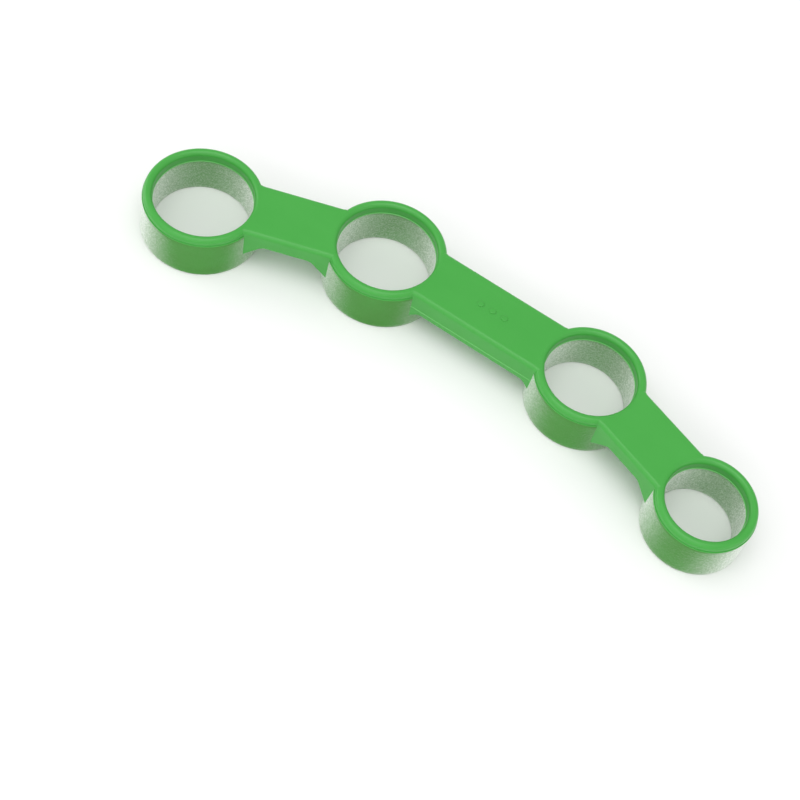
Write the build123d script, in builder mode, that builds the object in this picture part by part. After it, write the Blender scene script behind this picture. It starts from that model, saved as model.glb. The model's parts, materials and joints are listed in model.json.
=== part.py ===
"""Finger exerciser: four finger rings of graded size in a row, tied by three short bars.

The real thing is one green moulding. It is cut here where its shape and finish change, at the
line where each bar runs into a ring's rim, so that each ring can tilt as its bar bends.
The part lies on its rings' lower edges. +Z is the rings' axis, +X runs from the index ring to
the little ring along the long bar, and the origin is under the middle of the whole.
"""

from math import cos, radians, sin, sqrt, tan
import os

from build123d import *

# ---- Driving dimensions, in millimetres and degrees ----

index_bore = 22.0
middle_bore = 22.0
ring_bore = 20.0
little_bore = 17.6
wall = 2.5                 # thickness of every ring's wall
ring_height = 11.6
foot_radius = 0.3          # rounding of a ring's two lower edges

index_middle_pitch = 41.7  # from the axis of one ring to the next
middle_ring_pitch = 52.2
ring_little_pitch = 36.5
index_drop_angle = 19.5    # how far each outer bar turns away from the long bar's line
little_drop_angle = 19.0

bar_width = 14.0
short_bar_depth = 4.1      # of the two outer bars
long_bar_depth = 6.2
haunch_depth = 8.0         # depth at which a bar's underside reaches the ring's wall
haunch_angle = 45.0        # slope of that thickening
haunch_radius = 2.0        # hollow between a haunch and the bar's underside
top_edge_radius = 1.0
under_edge_radius = 0.4

pip_count = 3
pip_diameter = 1.5
pip_height = 0.2
pip_pitch = 3.0
pip_offset = 1.0           # from the long bar's middle towards the little ring

touch = 0.001              # closer than this, two heights count as one

# ---- Layout worked out from them ----


def outer_radius(bore):
    """Outside radius of the ring round a bore."""
    return bore / 2 + wall


def crown_radius(bore):
    """Radius of the highest line of a ring's rounded rim, where a bar's flat top begins."""
    return bore / 2 + wall / 2


# Ring centres measured from the middle ring's axis, with the long bar along X.
middle_centre = Vector(0, 0)
ring_centre = Vector(middle_ring_pitch, 0)
index_centre = Vector(
    -index_middle_pitch * cos(radians(index_drop_angle)),
    -index_middle_pitch * sin(radians(index_drop_angle)),
)
little_centre = ring_centre + Vector(
    ring_little_pitch * cos(radians(little_drop_angle)),
    -ring_little_pitch * sin(radians(little_drop_angle)),
)

ring_sizes = {
    "index_finger_ring": (index_centre, index_bore),
    "middle_finger_ring": (middle_centre, middle_bore),
    "ring_finger_ring": (ring_centre, ring_bore),
    "little_finger_ring": (little_centre, little_bore),
}

# The origin moves to the middle of the four rings' outline.
low_x = min(centre.X - outer_radius(bore) for centre, bore in ring_sizes.values())
high_x = max(centre.X + outer_radius(bore) for centre, bore in ring_sizes.values())
low_y = min(centre.Y - outer_radius(bore) for centre, bore in ring_sizes.values())
high_y = max(centre.Y + outer_radius(bore) for centre, bore in ring_sizes.values())
shift = Vector(-(low_x + high_x) / 2, -(low_y + high_y) / 2)
rings = {name: (centre + shift, bore) for name, (centre, bore) in ring_sizes.items()}

bars = {
    "index_middle_bar": ("index_finger_ring", "middle_finger_ring", short_bar_depth),
    "middle_ring_bar": ("middle_finger_ring", "ring_finger_ring", long_bar_depth),
    "ring_little_bar": ("ring_finger_ring", "little_finger_ring", short_bar_depth),
}


# ---- Bars ----


def is_at_height(edge, height):
    """Whether a level edge lies at this height."""
    return abs(edge.center().Z - height) < touch


def make_bar(start, end, start_bore, end_bore, depth):
    """A flat-topped bar, flush with the rims, that thickens in a haunch at each ring."""
    length = (end - start).length
    along = (end - start).normalized()
    start_wall = sqrt(outer_radius(start_bore) ** 2 - (bar_width / 2) ** 2)
    end_wall = length - sqrt(outer_radius(end_bore) ** 2 - (bar_width / 2) ** 2)
    haunch_rise = haunch_depth - depth
    haunch_run = haunch_rise / tan(radians(haunch_angle))
    # In this plane X runs along the bar from the first ring's axis, and Y is height from the top.
    side_plane = Plane(
        origin=(start.X, start.Y, ring_height),
        x_dir=along,
        z_dir=along.cross(Vector(0, 0, 1)),
    )
    with BuildPart() as bar:
        with BuildSketch(side_plane):
            with BuildLine():
                Polyline(
                    (0, 0),
                    (length, 0),
                    (length, -haunch_depth),
                    (end_wall, -haunch_depth),
                    (end_wall - haunch_run, -depth),
                    (start_wall + haunch_run, -depth),
                    (start_wall, -haunch_depth),
                    (0, -haunch_depth),
                    close=True,
                )
            make_face()
        extrude(amount=bar_width / 2, both=True)
        across = Axis(side_plane.origin, side_plane.z_dir)
        level_edges = bar.edges().filter_by(across)
        haunch_corners = level_edges.filter_by(lambda edge: is_at_height(edge, ring_height - depth))
        fillet(haunch_corners, radius=min(haunch_radius, haunch_rise))
        outline = bar.faces().filter_by(across).edges().filter_by(Axis.Z, reverse=True)
        fillet(outline.group_by(Axis.Z)[-1], radius=top_edge_radius)
        side_top = ring_height - top_edge_radius
        outline = bar.faces().filter_by(across).edges().filter_by(Axis.Z, reverse=True)
        under_edges = outline.filter_by(lambda edge: not is_at_height(edge, side_top))
        fillet(under_edges, radius=under_edge_radius)
        with Locations((start.X, start.Y, ring_height / 2)):
            Cylinder(crown_radius(start_bore), 2 * ring_height, mode=Mode.SUBTRACT)
        with Locations((end.X, end.Y, ring_height / 2)):
            Cylinder(crown_radius(end_bore), 2 * ring_height, mode=Mode.SUBTRACT)
    return bar.part


bar_parts = {}
for name, (first, second, depth) in bars.items():
    (start, start_bore), (end, end_bore) = rings[first], rings[second]
    bar_parts[name] = make_bar(start, end, start_bore, end_bore, depth)
    bar_parts[name].label = name


# ---- Rings ----


def make_ring(name, centre, bore):
    """A short tube with a fully rounded rim, cut away where its bars run in."""
    inner, outer, crown = bore / 2, outer_radius(bore), crown_radius(bore)
    rim_start = ring_height - wall / 2
    profile_plane = Plane(origin=(centre.X, centre.Y, 0), x_dir=(1, 0, 0), z_dir=(0, -1, 0))
    with BuildPart() as ring:
        with BuildSketch(profile_plane):
            with BuildLine():
                Polyline(
                    (inner, rim_start),
                    (inner, foot_radius),
                    (inner + foot_radius, 0),
                    (outer - foot_radius, 0),
                    (outer, foot_radius),
                    (outer, rim_start),
                )
                ThreePointArc((outer, rim_start), (crown, ring_height), (inner, rim_start))
            make_face()
        revolve(axis=Axis((centre.X, centre.Y, 0), (0, 0, 1)))
        for bar_name, (first, second, _) in bars.items():
            if name in (first, second):
                add(bar_parts[bar_name], mode=Mode.SUBTRACT)
    return ring.part


ring_parts = {}
for name, (centre, bore) in rings.items():
    ring_parts[name] = make_ring(name, centre, bore)
    ring_parts[name].label = name


# ---- Size marks: raised dots on the long bar ----

bar_middle_x = (rings["middle_finger_ring"][0].X + rings["ring_finger_ring"][0].X) / 2
bar_middle_y = rings["middle_finger_ring"][0].Y
with BuildPart() as size_pips:
    with BuildSketch(Plane.XY.offset(ring_height)):
        with Locations((bar_middle_x + pip_offset, bar_middle_y)):
            with GridLocations(pip_pitch, 0, pip_count, 1):
                Circle(pip_diameter / 2)
    extrude(amount=pip_height)
    chamfer(size_pips.edges().group_by(Axis.Z)[-1], length=pip_height / 2)
size_pips.part.label = "size_pips"


# ---- Output ----

os.makedirs("parts", exist_ok=True)
for name, part in (bar_parts | ring_parts | {"size_pips": size_pips.part}).items():
    export_step(part, f"parts/{name}.step")
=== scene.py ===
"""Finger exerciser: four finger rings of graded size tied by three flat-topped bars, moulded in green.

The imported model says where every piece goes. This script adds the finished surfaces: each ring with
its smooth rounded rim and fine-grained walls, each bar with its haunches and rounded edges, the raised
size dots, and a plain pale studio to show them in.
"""
import json
import math

import bmesh
import bpy
from bpy.props import FloatProperty, FloatVectorProperty, IntProperty, PointerProperty
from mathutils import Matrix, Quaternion, Vector


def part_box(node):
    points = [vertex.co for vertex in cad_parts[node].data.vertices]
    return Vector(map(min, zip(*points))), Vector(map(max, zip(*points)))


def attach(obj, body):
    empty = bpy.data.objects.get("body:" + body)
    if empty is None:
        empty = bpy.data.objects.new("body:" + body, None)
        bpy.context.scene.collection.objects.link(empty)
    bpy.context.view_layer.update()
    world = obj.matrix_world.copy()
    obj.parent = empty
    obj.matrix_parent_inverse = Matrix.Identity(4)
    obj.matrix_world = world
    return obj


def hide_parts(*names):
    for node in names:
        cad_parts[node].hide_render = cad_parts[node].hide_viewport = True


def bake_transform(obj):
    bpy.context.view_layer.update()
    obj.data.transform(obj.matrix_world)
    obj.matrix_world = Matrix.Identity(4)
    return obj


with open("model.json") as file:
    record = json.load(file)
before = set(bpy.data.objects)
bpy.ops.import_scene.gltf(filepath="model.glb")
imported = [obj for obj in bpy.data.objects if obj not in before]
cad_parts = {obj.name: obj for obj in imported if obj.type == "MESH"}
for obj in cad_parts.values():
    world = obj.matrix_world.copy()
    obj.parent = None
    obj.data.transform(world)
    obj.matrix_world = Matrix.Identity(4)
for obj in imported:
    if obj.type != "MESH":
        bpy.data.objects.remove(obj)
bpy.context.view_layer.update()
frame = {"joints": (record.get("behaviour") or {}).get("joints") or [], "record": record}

bl_info = {
    "name": "Finger Exerciser",
    "version": (1, 0, 0),
    "blender": (4, 5, 0),
    "location": "3D View > Sidebar > Exerciser",
    "description": "Builds a moulded finger exerciser with four graded rings and three bars",
    "category": "Add Mesh",
}

MM = 0.001
MOUNTS = {mount["name"]: mount for mount in frame["record"]["mounts"]}
JOINTS = {joint["name"]: joint for joint in frame["joints"]}

# Each ring: its piece, the CAD node it stands for, the finger hole it surrounds and its body.
RINGS = {
    "index": ("index_loop", "index_finger_ring", "index_finger_hole", "index_section"),
    "middle": ("middle_loop", "middle_finger_ring", "middle_finger_hole", "middle_section"),
    "ring": ("ring_loop", "ring_finger_ring", "ring_finger_hole", "ring_section"),
    "little": ("little_loop", "little_finger_ring", "little_finger_hole", "little_section"),
}
# Each bar's piece: the CAD node it stands for, the two rings it ties and the joint it bends at.
BARS = {
    "index_bar": ("index_middle_bar", "index", "middle", "index_bar_flex"),
    "long_bar": ("middle_ring_bar", "middle", "ring", "long_bar_flex"),
    "little_bar": ("ring_little_bar", "ring", "little", "little_bar_flex"),
}


def corners(node):
    """Lowest and highest corner of a CAD node."""
    low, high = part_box(node)
    return Vector(low), Vector(high)


def ring_facts(key):
    """Centre on the floor, bore radius and outer radius of one ring."""
    _, node, hole, _ = RINGS[key]
    low, high = corners(node)
    place = Vector(MOUNTS[hole]["pos_m"])
    bore = MOUNTS[hole]["dims"]["r_mm"] * MM
    return Vector((place.x, place.y, 0.0)), bore, (high.x - low.x) / 2


RING_TOP = corners("middle_finger_ring")[1].z
LONG_BAR_LOW, LONG_BAR_HIGH = corners("middle_ring_bar")
BAR_HALF_WIDTH = (LONG_BAR_HIGH.y - LONG_BAR_LOW.y) / 2
HAUNCH_DEPTH = RING_TOP - LONG_BAR_LOW.z


# ---- Settings ----


class FINGER_PG_shape(bpy.types.PropertyGroup):
    """Fine sizes of the moulding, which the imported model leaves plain."""

    rim_round: FloatProperty(
        name="Rim rounding", description="Radius of the smooth rounded rim",
        default=1.0 * MM, min=0.5 * MM, max=1.2 * MM, unit="LENGTH",
    )
    rim_outside: FloatProperty(
        name="Rim outside", description="Depth of the smooth rim on a ring's outer side",
        default=1.5 * MM, min=0.5 * MM, max=4 * MM, unit="LENGTH",
    )
    rim_inside: FloatProperty(
        name="Rim inside", description="Depth of the smooth rim inside a ring, where a finger goes in",
        default=2.4 * MM, min=0.5 * MM, max=4 * MM, unit="LENGTH",
    )
    grain_step: FloatProperty(
        name="Grain step", description="How far the grained walls stand out from the smooth rim",
        default=0.16 * MM, min=0.05 * MM, max=0.3 * MM, unit="LENGTH",
    )
    draft: FloatProperty(
        name="Draft", description="How much a ring's outer wall leans in towards its rim",
        default=0.15 * MM, min=0, max=0.4 * MM, unit="LENGTH",
    )
    foot_radius: FloatProperty(
        name="Foot radius", description="Rounding of a ring's two lower edges",
        default=0.3 * MM, min=0.05 * MM, max=1 * MM, unit="LENGTH",
    )
    bar_edge: FloatProperty(
        name="Bar top edge", description="Rounding of a bar's long upper edges",
        default=1.0 * MM, min=0.1 * MM, max=2 * MM, unit="LENGTH",
    )
    bar_under_edge: FloatProperty(
        name="Bar lower edge", description="Rounding of a bar's long lower edges",
        default=0.4 * MM, min=0.05 * MM, max=1 * MM, unit="LENGTH",
    )
    mould_line_depth: FloatProperty(
        name="Mould line depth", description="Depth of the fine line along the sides of a deep bar",
        default=4.6 * MM, min=1 * MM, max=7 * MM, unit="LENGTH",
    )
    mould_line_height: FloatProperty(
        name="Mould line height", description="How far the fine line stands out",
        default=0.11 * MM, min=0, max=0.2 * MM, unit="LENGTH",
    )
    mould_line_width: FloatProperty(
        name="Mould line width", description="Width of the fine line",
        default=0.24 * MM, min=0.05 * MM, max=1 * MM, unit="LENGTH",
    )
    root_fillet: FloatProperty(
        name="Root fillet", description="Hollow where a bar's side meets a ring's wall",
        default=0.3 * MM, min=0.1 * MM, max=2 * MM, unit="LENGTH",
    )
    haunch_fillet: FloatProperty(
        name="Haunch fillet", description="Hollow where a haunch runs into the bar's underside",
        default=2.0 * MM, min=0.1 * MM, max=4 * MM, unit="LENGTH",
    )
    haunch_angle: FloatProperty(
        name="Haunch angle", description="Slope of a haunch below the bar",
        default=math.radians(45), min=math.radians(20), max=math.radians(70), unit="ROTATION",
    )
    segments: IntProperty(
        name="Ring segments", description="Faces round each ring", default=192, min=48, max=512,
    )


class FINGER_PG_colour(bpy.types.PropertyGroup):
    """Colours and surface of the green plastic, among them a painted shade, a painted sheen and a painted
    highlight.
    """

    green: FloatVectorProperty(
        name="Green", description="Colour of the plastic",
        subtype="COLOR", default=(0.047, 0.362, 0.045), min=0, max=1,
    )
    pale_green: FloatVectorProperty(
        name="Pale green", description="Colour of the plastic where its mottle is palest",
        subtype="COLOR", default=(0.061, 0.395, 0.057), min=0, max=1,
    )
    # Painted shade: the grained walls' green is darker than the rims' and bars' green to stand in for
    # shade on them.
    shaded_wall_green: FloatVectorProperty(
        name="Wall green", description="Colour of the fine-grained walls",
        subtype="COLOR", default=(0.040, 0.222, 0.014), min=0, max=1,
    )
    # Painted sheen: a pale colour mixed into the grained walls' own colour where the look glances.
    painted_wall_sheen: FloatVectorProperty(
        name="Wall sheen", description="Pale sheen of the grained walls at a glancing look",
        subtype="COLOR", default=(0.92, 0.96, 0.90), min=0, max=1,
    )
    # Painted highlight: this pale green stands in for the glint along the step inside a ring and the long
    # bar's mould line.
    step_highlight_green: FloatVectorProperty(
        name="Step green", description="Pale line at the step inside a ring and along the long bar",
        subtype="COLOR", default=(0.16, 0.55, 0.15), min=0, max=1,
    )
    roughness: FloatProperty(
        name="Roughness", description="Roughness of the smooth satin surfaces",
        default=0.34, min=0, max=1,
    )
    grain_size: FloatProperty(
        name="Grain size", description="Size of one grain on the ring walls",
        default=0.32 * MM, min=0.02 * MM, max=2 * MM, unit="LENGTH",
    )
    grain_relief: FloatProperty(
        name="Grain relief", description="Height of the grain on the ring walls",
        default=0.03 * MM, min=0, max=0.2 * MM, unit="LENGTH",
    )


class FINGER_PG_studio(bpy.types.PropertyGroup):
    """Camera, floor and surround."""

    azimuth: FloatProperty(
        name="Azimuth", description="Direction that the camera looks from, round the vertical",
        default=math.radians(18.70), unit="ROTATION",
    )
    elevation: FloatProperty(
        name="Elevation", description="Height of the camera above the floor, as an angle",
        default=math.radians(57.31), unit="ROTATION",
    )
    roll: FloatProperty(
        name="Roll", description="Turn of the camera about its own line of sight",
        default=math.radians(16.69), unit="ROTATION",
    )
    distance: FloatProperty(
        name="Distance", description="From the camera to the point it looks at",
        default=325.8 * MM, unit="LENGTH",
    )
    lens: FloatProperty(
        name="Lens", description="Focal length of the camera", default=71.5, unit="CAMERA",
    )
    target: FloatVectorProperty(
        name="Target", description="Point on the rings' top plane at the middle of the view",
        default=(0.74 * MM, -24.38 * MM, RING_TOP), subtype="TRANSLATION", unit="LENGTH",
    )
    floor_width: FloatProperty(
        name="Floor width", description="Side of the square floor", default=6.0, unit="LENGTH",
    )
    floor_colour: FloatVectorProperty(
        name="Floor colour", description="Pale colour of the floor",
        subtype="COLOR", default=(0.95, 0.95, 0.95), min=0, max=1,
    )
    sky: FloatProperty(
        name="Sky", description="Strength of the even white surround", default=0.68, min=0,
    )


# ---- Mesh helpers ----


def arc(centre, radius, start, end, steps):
    """Points on an arc about a centre, from one angle to another in degrees."""
    points = []
    for step in range(steps + 1):
        angle = math.radians(start + (end - start) * step / steps)
        points.append((centre[0] + radius * math.cos(angle), centre[1] + radius * math.sin(angle)))
    return points


def run(start, end, steps):
    """Points inside a straight stretch, without its two ends."""
    return [
        (start[0] + (end[0] - start[0]) * step / steps, start[1] + (end[1] - start[1]) * step / steps)
        for step in range(1, steps)
    ]


def circle(mesh, centre, radius, height, sides):
    """A level loop of vertices round an upright axis."""
    loop = []
    for step in range(sides):
        turn = 2 * math.pi * step / sides
        out = Vector((radius * math.cos(turn), radius * math.sin(turn), height))
        loop.append(mesh.verts.new(centre + out))
    return loop


def bridge(mesh, first, second):
    """Faces between two closed loops of as many vertices, one for each step round them."""
    faces = []
    for step in range(len(first)):
        onward = (step + 1) % len(first)
        faces.append(mesh.faces.new((first[step], first[onward], second[onward], second[step])))
    return faces


def finished_object(name, mesh_data, materials, sharp_angle=30):
    """A scene object from a bmesh, smooth-shaded except at edges that turn by more degrees than this."""
    bmesh.ops.recalc_face_normals(mesh_data, faces=mesh_data.faces)
    mesh = bpy.data.meshes.new(name)
    mesh_data.to_mesh(mesh)
    mesh_data.free()
    mesh.polygons.foreach_set("use_smooth", [True] * len(mesh.polygons))
    mesh.set_sharp_from_angle(angle=math.radians(sharp_angle))
    for material in materials:
        mesh.materials.append(material)
    made = bpy.data.objects.new(name, mesh)
    bpy.context.collection.objects.link(made)
    return made


# ---- Node helpers ----

# Places of the colour sockets on a Mix node, where several sockets have the same name.
MIX_FIRST, MIX_SECOND, MIX_RESULT = 6, 7, 2


def feed(tree, value, socket):
    """Links a node's output to a socket, or sets the socket to a plain number or colour."""
    if isinstance(value, bpy.types.NodeSocket):
        tree.links.new(value, socket)
    else:
        socket.default_value = value


def add_math(tree, operation, first, second):
    """Arithmetic on two sockets or numbers."""
    node = tree.nodes.new("ShaderNodeMath")
    node.operation = operation
    feed(tree, first, node.inputs[0])
    feed(tree, second, node.inputs[1])
    return node.outputs[0]


def add_shares(tree, first, share, second):
    """Adds two values, the first by its share and the second by the rest."""
    first_part = add_math(tree, "MULTIPLY", first, share)
    return add_math(tree, "ADD", first_part, add_math(tree, "MULTIPLY", second, 1 - share))


def add_range(tree, value, given, wanted=(0, 1)):
    """Maps a value from the given range to the wanted one, clamped."""
    node = tree.nodes.new("ShaderNodeMapRange")
    for label, end in zip(("From Min", "From Max", "To Min", "To Max"), (*given, *wanted)):
        node.inputs[label].default_value = end
    tree.links.new(value, node.inputs["Value"])
    return node.outputs["Result"]


def add_mix(tree, share, first, second):
    """Mixes two colours, each a socket or a plain colour."""
    node = tree.nodes.new("ShaderNodeMix")
    node.data_type = "RGBA"
    tree.links.new(share, node.inputs["Factor"])
    feed(tree, first, node.inputs[MIX_FIRST])
    feed(tree, second, node.inputs[MIX_SECOND])
    return node.outputs[MIX_RESULT]


def add_noise(tree, place, size, detail, roughness, squash=(1, 1, 1)):
    """A noise texture whose features measure about size, in metres, and are drawn out by squash."""
    mapping = tree.nodes.new("ShaderNodeMapping")
    mapping.inputs["Scale"].default_value = squash
    tree.links.new(place, mapping.inputs["Vector"])
    noise = tree.nodes.new("ShaderNodeTexNoise")
    noise.inputs["Detail"].default_value = detail
    noise.inputs["Roughness"].default_value = roughness
    tree.links.new(mapping.outputs["Vector"], noise.inputs["Vector"])
    tree.links.new(add_math(tree, "DIVIDE", 1.0, size), noise.inputs["Scale"])
    return noise.outputs["Fac"]


def add_bump(tree, height, shader):
    """Tilts a shader's surface by a height in metres, and gives the tilted normal."""
    bump = tree.nodes.new("ShaderNodeBump")
    bump.inputs["Distance"].default_value = 1.0
    tree.links.new(height, bump.inputs["Height"])
    tree.links.new(bump.outputs["Normal"], shader.inputs["Normal"])
    return bump.outputs["Normal"]


# ---- Shader groups that the finishes share ----


def shader_group(name, inputs, output_names):
    """A new shader node group with named sockets, and its input and output nodes."""
    group = bpy.data.node_groups.new(name, "ShaderNodeTree")
    for label, kind, default in inputs:
        socket = group.interface.new_socket(name=label, in_out="INPUT", socket_type=kind)
        socket.default_value = default
    for label, kind in output_names:
        group.interface.new_socket(name=label, in_out="OUTPUT", socket_type=kind)
    return group, group.nodes.new("NodeGroupInput"), group.nodes.new("NodeGroupOutput")


def moulded_colour_group():
    """Cloudy colour of moulded plastic: soft mottle, and faint streaks along the flow."""
    group, given, result = shader_group(
        "Moulded Colour",
        (
            ("Colour", "NodeSocketColor", (0, 0, 0, 1)),
            ("Pale Colour", "NodeSocketColor", (0, 0, 0, 1)),
            ("Cloud Size", "NodeSocketFloat", 12 * MM),
            ("Streak Size", "NodeSocketFloat", 2.5 * MM),
            ("Amount", "NodeSocketFloat", 0.5),
        ),
        (("Colour", "NodeSocketColor"),),
    )
    place = group.nodes.new("ShaderNodeTexCoord").outputs["Object"]
    cloud = add_noise(group, place, given.outputs["Cloud Size"], detail=3, roughness=0.5)
    streak = add_noise(
        group, place, given.outputs["Streak Size"], detail=2, roughness=0.45, squash=(0.18, 1, 1),
    )
    mottle = add_range(group, add_shares(group, cloud, 0.7, streak), (0.35, 0.65))
    share = add_math(group, "MULTIPLY", mottle, given.outputs["Amount"])
    mixed = add_mix(group, share, given.outputs["Colour"], given.outputs["Pale Colour"])
    group.links.new(mixed, result.inputs["Colour"])
    return group


def spark_grain_group():
    """Fine pitted grain that a spark-eroded mould leaves on plastic."""
    group, given, result = shader_group(
        "Spark Grain",
        (("Grain Size", "NodeSocketFloat", 0.32 * MM), ("Relief", "NodeSocketFloat", 0.03 * MM)),
        (("Height", "NodeSocketFloat"), ("Speckle", "NodeSocketFloat")),
    )
    place = group.nodes.new("ShaderNodeTexCoord").outputs["Object"]
    fine = add_noise(group, place, given.outputs["Grain Size"], detail=2, roughness=0.6)
    coarse_size = add_math(group, "MULTIPLY", given.outputs["Grain Size"], 2.5)
    coarse = add_noise(group, place, coarse_size, detail=1, roughness=0.5)
    both = add_shares(group, fine, 0.85, coarse)
    height = add_math(group, "MULTIPLY", both, given.outputs["Relief"])
    group.links.new(height, result.inputs["Height"])
    group.links.new(add_range(group, both, (0.42, 0.66)), result.inputs["Speckle"])
    return group


def handling_group():
    """Faint rubbing and hairline marks that handling leaves on satin plastic."""
    group, given, result = shader_group(
        "Handling Marks",
        (
            ("Roughness", "NodeSocketFloat", 0.4),
            ("Variation", "NodeSocketFloat", 0.08),
            ("Rub Size", "NodeSocketFloat", 5 * MM),
            ("Hairline Size", "NodeSocketFloat", 0.9 * MM),
            ("Hairline Depth", "NodeSocketFloat", 0.003 * MM),
        ),
        (("Roughness", "NodeSocketFloat"), ("Height", "NodeSocketFloat")),
    )
    place = group.nodes.new("ShaderNodeTexCoord").outputs["Object"]
    rub = add_noise(group, place, given.outputs["Rub Size"], detail=4, roughness=0.6)
    hairline = given.outputs["Hairline Size"]
    along = add_noise(group, place, hairline, detail=2, roughness=0.5, squash=(0.06, 1.6, 1))
    across = add_noise(group, place, hairline, detail=2, roughness=0.5, squash=(1.7, 0.07, 1))
    marks = add_math(
        group, "MAXIMUM",
        add_range(group, along, (0.62, 0.70)),
        add_range(group, across, (0.64, 0.72)),
    )
    rubbed = add_range(group, rub, (0.3, 0.7), (-0.5, 0.5))
    worn = add_math(group, "ADD", rubbed, add_math(group, "MULTIPLY", marks, 0.35))
    spread = add_math(group, "MULTIPLY", worn, given.outputs["Variation"])
    roughness = add_math(group, "ADD", given.outputs["Roughness"], spread)
    group.links.new(roughness, result.inputs["Roughness"])
    depth = add_math(group, "MULTIPLY", given.outputs["Hairline Depth"], -1)
    group.links.new(add_math(group, "MULTIPLY", marks, depth), result.inputs["Height"])
    return group


def place_group(tree, name, make, **values):
    """Puts a shared group, made when it is first asked for, in a material with its own values."""
    node = tree.nodes.new("ShaderNodeGroup")
    node.node_tree = bpy.data.node_groups.get(name) or make()
    for label, value in values.items():
        node.inputs[label.replace("_", " ")].default_value = value
    return node


# ---- Finishes ----

PLASTIC_IOR = 1.49


def new_material(name):
    """A node material, its tree and its Principled shader."""
    material = bpy.data.materials.new(name)
    material.use_nodes = True
    return material, material.node_tree, material.node_tree.nodes["Principled BSDF"]


def smooth_plastic(name, green, pale_green):
    """Smooth satin plastic in a given green."""
    if name in bpy.data.materials:
        return bpy.data.materials[name]
    material, tree, shader = new_material(name)
    shader.inputs["IOR"].default_value = PLASTIC_IOR
    shader.inputs["Subsurface Weight"].default_value = 0.08
    shader.inputs["Subsurface Radius"].default_value = (0.4, 1.0, 0.3)
    shader.inputs["Subsurface Scale"].default_value = 1.2 * MM
    colour = place_group(
        tree, "Moulded Colour", moulded_colour_group,
        Colour=(*green, 1), Pale_Colour=(*pale_green, 1), Amount=0.35,
    )
    marks = place_group(
        tree, "Handling Marks", handling_group,
        Roughness=bpy.context.scene.finger_colour.roughness,
    )
    tree.links.new(colour.outputs["Colour"], shader.inputs["Base Color"])
    tree.links.new(marks.outputs["Roughness"], shader.inputs["Roughness"])
    add_bump(tree, marks.outputs["Height"], shader)
    return material


def satin_green():
    """Smooth satin plastic of the rims, the bars and the size dots."""
    colours = bpy.context.scene.finger_colour
    return smooth_plastic("satin_green", colours.green, colours.pale_green)


def painted_step_highlight():
    """Painted highlight: paler green at the fine step inside a ring and along the mould line, standing in
    for the glint on their edges.
    """
    colours = bpy.context.scene.finger_colour
    return smooth_plastic("painted_step_highlight", colours.step_highlight_green, colours.pale_green)


def grained_plastic(name, sheen_range):
    """Fine-grained plastic of the ring walls, with a whitish sheen at a glancing look, part real and part
    painted.

    The sheen grows from none to full over its range of glance, from 0 face on to 1 edge on. It comes from
    the shader's coat and sheen, and from a painted sheen mixed into the base colour.
    """
    if name in bpy.data.materials:
        return bpy.data.materials[name]
    colours = bpy.context.scene.finger_colour
    material, tree, shader = new_material(name)
    shader.inputs["IOR"].default_value = PLASTIC_IOR
    shader.inputs["Sheen Weight"].default_value = 0.4
    shader.inputs["Sheen Roughness"].default_value = 0.3
    shader.inputs["Coat Roughness"].default_value = 0.35
    shader.inputs["Coat IOR"].default_value = 1.6
    # The walls' base colour is the darker wall green, a painted shade.
    colour = place_group(
        tree, "Moulded Colour", moulded_colour_group,
        Colour=(*colours.shaded_wall_green, 1), Pale_Colour=(*colours.pale_green, 1), Amount=0.25,
    )
    grain = place_group(
        tree, "Spark Grain", spark_grain_group,
        Grain_Size=colours.grain_size, Relief=colours.grain_relief,
    )
    speckle = grain.outputs["Speckle"]
    glance = tree.nodes.new("ShaderNodeLayerWeight")
    tree.links.new(add_bump(tree, grain.outputs["Height"], shader), glance.inputs["Normal"])
    sheen = add_math(
        tree, "MULTIPLY",
        add_range(tree, glance.outputs["Facing"], sheen_range),
        add_range(tree, speckle, (0, 1), (0.45, 1)),
    )
    tree.links.new(sheen, shader.inputs["Coat Weight"])
    # Painted sheen: the base colour turns towards the pale sheen colour where the look glances.
    pale = add_mix(tree, sheen, colour.outputs["Colour"], (*colours.painted_wall_sheen, 1))
    tree.links.new(pale, shader.inputs["Base Color"])
    tree.links.new(add_range(tree, speckle, (0, 1), (0.58, 0.46)), shader.inputs["Roughness"])
    return material


def grained_wall():
    """Grained outer walls and foot of a ring."""
    return grained_plastic("grained_wall", (0.46, 0.80))


def grained_bore():
    """Grained inner wall of a ring, painted paler than the outer wall: its painted sheen starts at a less
    glancing look and stands in for light from below.
    """
    return grained_plastic("grained_bore", (0.24, 0.66))


def pale_floor():
    """Plain pale floor."""
    material, _, shader = new_material("pale_floor")
    shader.inputs["Base Color"].default_value = (*bpy.context.scene.finger_studio.floor_colour, 1)
    shader.inputs["Roughness"].default_value = 0.7
    return material


# ---- Rings ----

# A ring's materials in order: its satin rim, the painted highlight on the step under it inside, the
# grained bore and wall.
RIM_FINISH, STEP_HIGHLIGHT_FINISH, BORE_FINISH, WALL_FINISH = range(4)
# Steps over the rim, round the edge of a grained wall, round a foot's edge and down a wall.
RIM_STEPS, EDGE_STEPS, FOOT_STEPS, DOWN_STEPS = 40, 4, 6, 12
# Rounding of a grained wall's edge, as a share of the step there.
EDGE_SHARE = 0.75
RING_SHARP_ANGLE = 28


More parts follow.
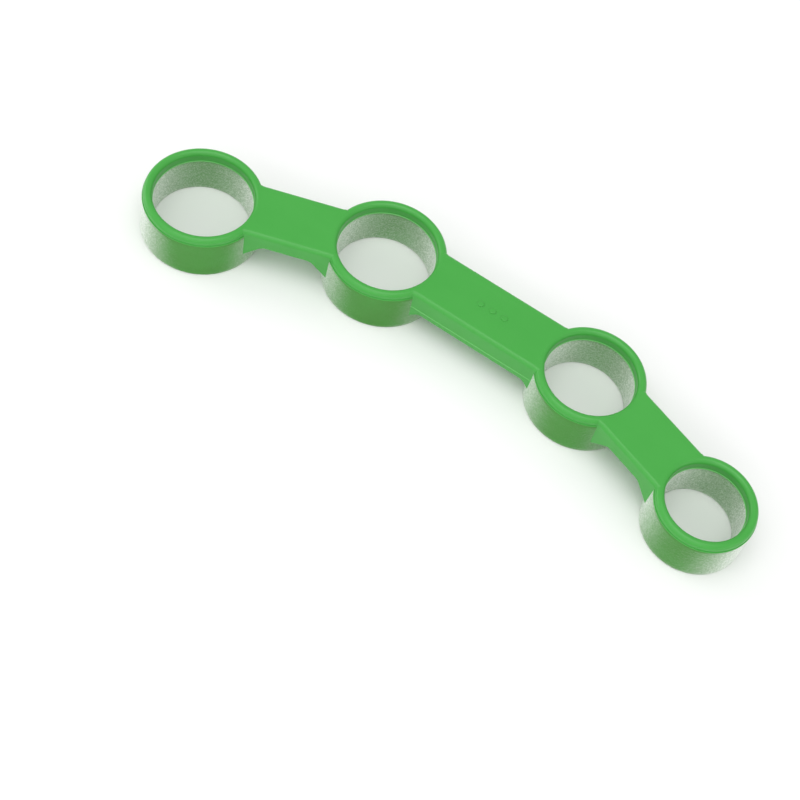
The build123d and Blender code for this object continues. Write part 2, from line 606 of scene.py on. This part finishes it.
def ring_profile(shape, bore, outer):
    """Closed outline of a ring's wall as radius and height, and the finish after each of its points."""
    rim, foot, edge = shape.rim_round, shape.foot_radius, shape.grain_step * EDGE_SHARE
    crown = bore + shape.grain_step + rim
    inner_ledge, outer_ledge = RING_TOP - shape.rim_inside, RING_TOP - shape.rim_outside
    wall_top = outer - shape.draft
    outer_step = arc((wall_top - edge, outer_ledge - edge), edge, 0, 90, EDGE_STEPS)
    rim_line = [(crown + rim, outer_ledge)] + arc((crown, RING_TOP - rim), rim, 0, 180, RIM_STEPS)
    inner_edge = arc((bore + edge, inner_ledge - edge), edge, 90, 180, EDGE_STEPS)
    inner_step = [(crown - rim, inner_ledge)] + inner_edge
    inner_foot = arc((bore + foot, foot), foot, 180, 270, FOOT_STEPS)
    bore_wall = run(inner_step[-1], (bore, foot), DOWN_STEPS) + inner_foot
    outer_foot = arc((outer - foot, foot), foot, 270, 360, FOOT_STEPS)
    outer_wall = outer_foot + run((outer, foot), outer_step[0], DOWN_STEPS)
    stretches = (
        (outer_step + rim_line, RIM_FINISH),
        (inner_step[:-1], STEP_HIGHLIGHT_FINISH),
        (inner_step[-1:] + bore_wall, BORE_FINISH),
        (outer_wall, WALL_FINISH),
    )
    points, finishes = [], []
    for stretch, finish in stretches:
        points += stretch
        finishes += [finish] * len(stretch)
    return points, finishes


def make_ring(key, shape):
    """One finger ring: the outline turned about the finger hole's axis."""
    piece, node, _, body = RINGS[key]
    centre, bore, outer = ring_facts(key)
    profile, finishes = ring_profile(shape, bore, outer)
    mesh = bmesh.new()
    loops = [circle(mesh, centre, radius, height, shape.segments) for radius, height in profile]
    for loop, following, finish in zip(loops, loops[1:] + loops[:1], finishes):
        for face in bridge(mesh, loop, following):
            face.material_index = finish
    materials = (satin_green(), painted_step_highlight(), grained_bore(), grained_wall())
    made = finished_object(piece, mesh, materials, RING_SHARP_ANGLE)
    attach(made, body)
    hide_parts(node)
    return made


class FINGER_OT_rings(bpy.types.Operator):
    """Build the four finger rings"""

    bl_idname = "finger.rings"
    bl_label = "Finger Rings"

    def execute(self, context):
        for key in RINGS:
            make_ring(key, context.scene.finger_shape)
        return {"FINISHED"}


# ---- Bars ----

# Steps round a bar's rounded edges, down its side walls and across its flats, and the place of a
# side wall's middle in the outline that they make.
CORNER_STEPS, WALL_STEPS, FLAT_STEPS = 8, 6, 14
SIDE_MIDDLE = CORNER_STEPS + WALL_STEPS // 2
# Spacing and least number of a bar's upright cross-sections, and the steps from the last of them at
# each end to the crown of a rim.
STATION_SPACING, LEAST_STATIONS, END_STEPS = 0.35 * MM, 8, 9
# Place of the mould line's material, a painted highlight, after a bar's satin green.
LINE_HIGHLIGHT_FINISH = 1
BAR_SHARP_ANGLE = 32


class BarShape:
    """A bar's outline, measured along its own line from the first ring's centre.

    A place near one end is given as a distance from the nearer ring's centre and which ring that is.
    """

    def __init__(self, piece, shape):
        _, first, second, joint = BARS[piece]
        self.start, first_bore, first_outer = ring_facts(first)
        self.end, second_bore, second_outer = ring_facts(second)
        self.length = (self.end - self.start).length
        self.along = (self.end - self.start).normalized()
        self.across = Vector((0, 0, 1)).cross(self.along)
        # The joint lies at half the bar's depth.
        self.depth = 2 * (RING_TOP - JOINTS[joint]["pos_m"][2])
        self.has_mould_line = self.depth > shape.mould_line_depth + shape.bar_under_edge
        self.shape = shape
        self.rings = ((first_bore, first_outer), (second_bore, second_outer))

    def wall_reach(self, which):
        """How far along the bar its side meets the wall of the first or second ring, from that ring."""
        return math.sqrt(self.rings[which][1] ** 2 - BAR_HALF_WIDTH**2)

    def crown_reach(self, which, offset):
        """How far along the bar a line at this offset meets the crown of a ring's rim, from that ring."""
        bore, outer = self.rings[which]
        return math.sqrt(((bore + outer) / 2) ** 2 - offset**2)

    def half_width(self, near):
        """Half width at a distance from a ring's centre: straight, with a hollow at the ring's wall."""
        distance, which = near
        fillet, outer = self.shape.root_fillet, self.rings[which][1]
        centre = math.sqrt((outer + fillet) ** 2 - (BAR_HALF_WIDTH + fillet) ** 2)
        if distance >= centre:
            return BAR_HALF_WIDTH
        touch = centre * outer / (outer + fillet)
        inside = max(distance, touch)
        return BAR_HALF_WIDTH + fillet - math.sqrt(fillet**2 - (centre - inside) ** 2)

    def underside(self, near):
        """Depth below the ring tops at a distance from a ring's centre: flat, hollow, then haunch."""
        distance, which = near
        rise = HAUNCH_DEPTH - self.depth
        slope = self.shape.haunch_angle
        corner = self.wall_reach(which) + rise / math.tan(slope)
        hollow = min(self.shape.haunch_fillet, rise)
        reach = hollow * math.tan(slope / 2)
        flat_end = corner + reach
        slope_start = corner - reach * math.cos(slope)
        if distance >= flat_end:
            return self.depth
        if distance > slope_start:
            return self.depth + hollow - math.sqrt(hollow**2 - (flat_end - distance) ** 2)
        return min(HAUNCH_DEPTH, self.depth + (corner - distance) * math.tan(slope))

    def nearest(self, distance):
        """Distance from the nearer ring's centre, and which ring that is."""
        return (distance, 0) if distance < self.length / 2 else (self.length - distance, 1)

    def stations(self):
        """Distances along the bar of its upright cross-sections, evenly from wall to wall."""
        first, second = self.rings[0][1], self.length - self.rings[1][1]
        count = max(LEAST_STATIONS, round((second - first) / STATION_SPACING))
        return [first + (second - first) * step / count for step in range(count + 1)]

    def place(self, distance, offset, below):
        """A point of a cross-section, by its distance along, offset across and depth below the top."""
        across = self.across * offset
        return self.start + self.along * distance + across + Vector((0, 0, RING_TOP - below))


def bar_section(bar, near):
    """Closed outline of a bar's cross-section as offset across and depth below the top."""
    half_width, depth = bar.half_width(near), bar.underside(near)
    edge, under = bar.shape.bar_edge, bar.shape.bar_under_edge
    side = run((half_width, edge), (half_width, depth - under), WALL_STEPS)
    if bar.has_mould_line:
        line, half_line = bar.shape.mould_line_depth, bar.shape.mould_line_width / 2
        # A fine ridge takes the place of the side wall's last three points.
        side[-3:] = (
            (half_width, line - half_line),
            (half_width + bar.shape.mould_line_height, line),
            (half_width, line + half_line),
        )
    right = (
        arc((half_width - edge, edge), edge, -90, 0, CORNER_STEPS)
        + side
        + arc((half_width - under, depth - under), under, 0, 90, CORNER_STEPS)
    )
    left = [(-offset, below) for offset, below in reversed(right)]
    return right + run(right[-1], left[0], FLAT_STEPS) + left + run(left[-1], right[0], FLAT_STEPS)


def end_loop(mesh, bar, which, station, share):
    """A loop of a bar's end, between the crown of a ring's rim, at share 0, and a station, at share 1."""
    loop = []
    for index, (offset, _) in enumerate(bar_section(bar, (0, which))):
        crown = bar.crown_reach(which, offset)
        distance = crown + (station - crown) * share
        point = bar_section(bar, (distance, which))[index]
        along = distance if which == 0 else bar.length - distance
        loop.append(mesh.verts.new(bar.place(along, *point)))
    return loop


def close_end(mesh, loop):
    """Closes a cross-section with upright strips, from the middle of one side wall to the other."""
    turned = loop[SIDE_MIDDLE:] + loop[:SIDE_MIDDLE]
    half = len(turned) // 2
    lower = turned[: half + 1]
    upper = [turned[0]] + turned[:half - 1 : -1]
    for index in range(half):
        strip = (upper[index], upper[index + 1], lower[index + 1], lower[index])
        mesh.faces.new([vert for step, vert in enumerate(strip) if vert not in strip[:step]])


def mark_mould_line(mesh, shape):
    """Gives the faces of the fine line their own finish, a painted highlight."""
    for face in mesh.faces:
        below = RING_TOP - face.calc_center_median().z
        if abs(below - shape.mould_line_depth) < shape.mould_line_width / 2:
            face.material_index = LINE_HIGHLIGHT_FINISH


def follow_bend(made, bar):
    """Bakes a piece's place into its mesh. The middles of the bar's two haunches are worked out but not
    used.
    """
    half_haunch = (HAUNCH_DEPTH - bar.depth) / math.tan(bar.shape.haunch_angle) / 2
    start = bar.start + bar.along * (bar.wall_reach(0) + half_haunch)
    end = bar.end - bar.along * (bar.wall_reach(1) + half_haunch)
    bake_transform(made)


def make_bar(piece, shape):
    """One bar: cross-sections joined from rim to rim."""
    node, first, second, _ = BARS[piece]
    bar = BarShape(piece, shape)
    mesh = bmesh.new()
    stations = bar.stations()
    shares = [step / END_STEPS for step in range(END_STEPS)]
    loops = [end_loop(mesh, bar, 0, stations[0], share) for share in shares]
    for distance in stations:
        section = bar_section(bar, bar.nearest(distance))
        loops.append([mesh.verts.new(bar.place(distance, *point)) for point in section])
    last = bar.length - stations[-1]
    loops += [end_loop(mesh, bar, 1, last, share) for share in reversed(shares)]
    for loop, following in zip(loops, loops[1:]):
        bridge(mesh, loop, following)
    if bar.has_mould_line:
        mark_mould_line(mesh, shape)
    for loop in (loops[0], loops[-1]):
        close_end(mesh, loop)
    made = finished_object(piece, mesh, (satin_green(), painted_step_highlight()), BAR_SHARP_ANGLE)
    follow_bend(made, bar)
    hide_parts(node)
    return made


class FINGER_OT_bars(bpy.types.Operator):
    """Build the three bars that tie the rings"""

    bl_idname = "finger.bars"
    bl_label = "Tie Bars"

    def execute(self, context):
        for piece in BARS:
            make_bar(piece, context.scene.finger_shape)
        return {"FINISHED"}


# ---- Size dots ----

DOT_COUNT = 3
# Sides round a dot, steps over its rounded shoulder, and how deep its foot stands in the bar.
DOT_SIDES, SHOULDER_STEPS, DOT_SUNK = 48, 8, 0.05 * MM
DOT_SHARP_ANGLE = 40


def make_dots(shape):
    """The raised dots on the long bar that mark its size, flat-topped with rounded shoulders."""
    low, high = corners("size_pips")
    radius, rise = (high.y - low.y) / 2, high.z - RING_TOP
    middle_y = (low.y + high.y) / 2
    pitch = (high.x - low.x - 2 * radius) / (DOT_COUNT - 1)
    shoulder = arc((radius - rise, RING_TOP), rise, 0, 90, SHOULDER_STEPS)
    profile = [(radius, RING_TOP - DOT_SUNK)] + shoulder
    mesh = bmesh.new()
    for dot in range(DOT_COUNT):
        centre = Vector((low.x + radius + pitch * dot, middle_y, 0))
        loops = [circle(mesh, centre, reach, height, DOT_SIDES) for reach, height in profile]
        for loop, following in zip(loops, loops[1:]):
            bridge(mesh, loop, following)
        mesh.faces.new(loops[0])
        mesh.faces.new(loops[-1])
    made = finished_object("size_dots", mesh, (satin_green(),), DOT_SHARP_ANGLE)
    follow_bend(made, BarShape("long_bar", shape))
    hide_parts("size_pips")
    return made


class FINGER_OT_dots(bpy.types.Operator):
    """Build the raised size dots on the long bar"""

    bl_idname = "finger.dots"
    bl_label = "Size Dots"

    def execute(self, context):
        make_dots(context.scene.finger_shape)
        return {"FINISHED"}


# ---- Studio ----

# Each soft light: its name, its place, its width and height in metres, and its power in watts.
LIGHTS = (
    ("key", (0, -0.15, 0.94), 0.8, 0.8, 3.6),
    ("front", (0, -0.66, 0.46), 1.4, 0.3, 1.3),
    ("left", (-0.80, -0.05, 0.30), 0.5, 0.3, 1.1),
    ("right", (0.80, -0.05, 0.30), 0.5, 0.3, 0.5),
)
# Width of the camera's sensor in millimetres.
SENSOR_WIDTH = 36


def add_floor(studio):
    """The plain square floor that the part lies on."""
    mesh = bmesh.new()
    bmesh.ops.create_grid(mesh, x_segments=1, y_segments=1, size=studio.floor_width / 2)
    floor = finished_object("floor", mesh, (pale_floor(),))


def add_surround(scene, strength):
    """Even white light from all round."""
    world = bpy.data.worlds.new("studio")
    world.use_nodes = True
    background = world.node_tree.nodes["Background"]
    background.inputs["Color"].default_value = (1, 1, 1, 1)
    background.inputs["Strength"].default_value = strength
    scene.world = world


def add_light(name, place, width, height, power):
    """A large soft light that faces the object."""
    light = bpy.data.lights.new(name, "AREA")
    light.shape, light.size, light.size_y, light.energy = "RECTANGLE", width, height, power
    made = bpy.data.objects.new(name, light)
    made.location = place
    made.rotation_euler = (-Vector(place)).to_track_quat("-Z", "Y").to_euler()
    bpy.context.collection.objects.link(made)


def add_camera(scene, studio):
    """The camera, which looks at its target from an azimuth, an elevation and a distance."""
    camera = bpy.data.cameras.new("camera")
    camera.lens, camera.sensor_width = studio.lens, SENSOR_WIDTH
    camera.clip_start, camera.clip_end = 0.01, 10
    view = bpy.data.objects.new("camera", camera)
    level = math.cos(studio.elevation)
    back = Vector((
        math.sin(studio.azimuth) * level, -math.cos(studio.azimuth) * level, math.sin(studio.elevation)
    ))
    view.location = Vector(studio.target) + back * studio.distance
    view.rotation_mode = "QUATERNION"
    view.rotation_quaternion = (-back).to_track_quat("-Z", "Y") @ Quaternion((0, 0, 1), studio.roll)
    bpy.context.collection.objects.link(view)
    scene.camera = view
    scene.view_settings.view_transform = "Standard"


class FINGER_OT_studio(bpy.types.Operator):
    """Build the pale floor, the soft lights and the camera"""

    bl_idname = "finger.studio"
    bl_label = "Studio"

    def execute(self, context):
        studio = context.scene.finger_studio
        add_floor(studio)
        add_surround(context.scene, studio.sky)
        for light in LIGHTS:
            add_light(*light)
        add_camera(context.scene, studio)
        return {"FINISHED"}


# ---- Panel and registration ----


class FINGER_PT_panel(bpy.types.Panel):
    """Buttons for the pieces, and their settings"""

    bl_label = "Finger Exerciser"
    bl_idname = "FINGER_PT_panel"
    bl_space_type = "VIEW_3D"
    bl_region_type = "UI"
    bl_category = "Exerciser"

    def draw(self, context):
        for name in ("finger.rings", "finger.bars", "finger.dots", "finger.studio"):
            self.layout.operator(name)
        scene = context.scene
        for group in (scene.finger_shape, scene.finger_colour, scene.finger_studio):
            box = self.layout.box()
            for key in group.bl_rna.properties.keys():
                if key not in ("rna_type", "name"):
                    box.prop(group, key)


CLASSES = (
    FINGER_PG_shape, FINGER_PG_colour, FINGER_PG_studio,
    FINGER_OT_rings, FINGER_OT_bars, FINGER_OT_dots, FINGER_OT_studio,
    FINGER_PT_panel,
)


def register():
    for item in CLASSES:
        bpy.utils.register_class(item)
    bpy.types.Scene.finger_shape = PointerProperty(type=FINGER_PG_shape)
    bpy.types.Scene.finger_colour = PointerProperty(type=FINGER_PG_colour)
    bpy.types.Scene.finger_studio = PointerProperty(type=FINGER_PG_studio)


def unregister():
    del bpy.types.Scene.finger_studio
    del bpy.types.Scene.finger_colour
    del bpy.types.Scene.finger_shape
    for item in reversed(CLASSES):
        bpy.utils.unregister_class(item)


def main():
    register()
    bpy.ops.finger.rings()
    bpy.ops.finger.bars()
    bpy.ops.finger.dots()
    bpy.ops.finger.studio()


if __name__ == "__main__":
    main()
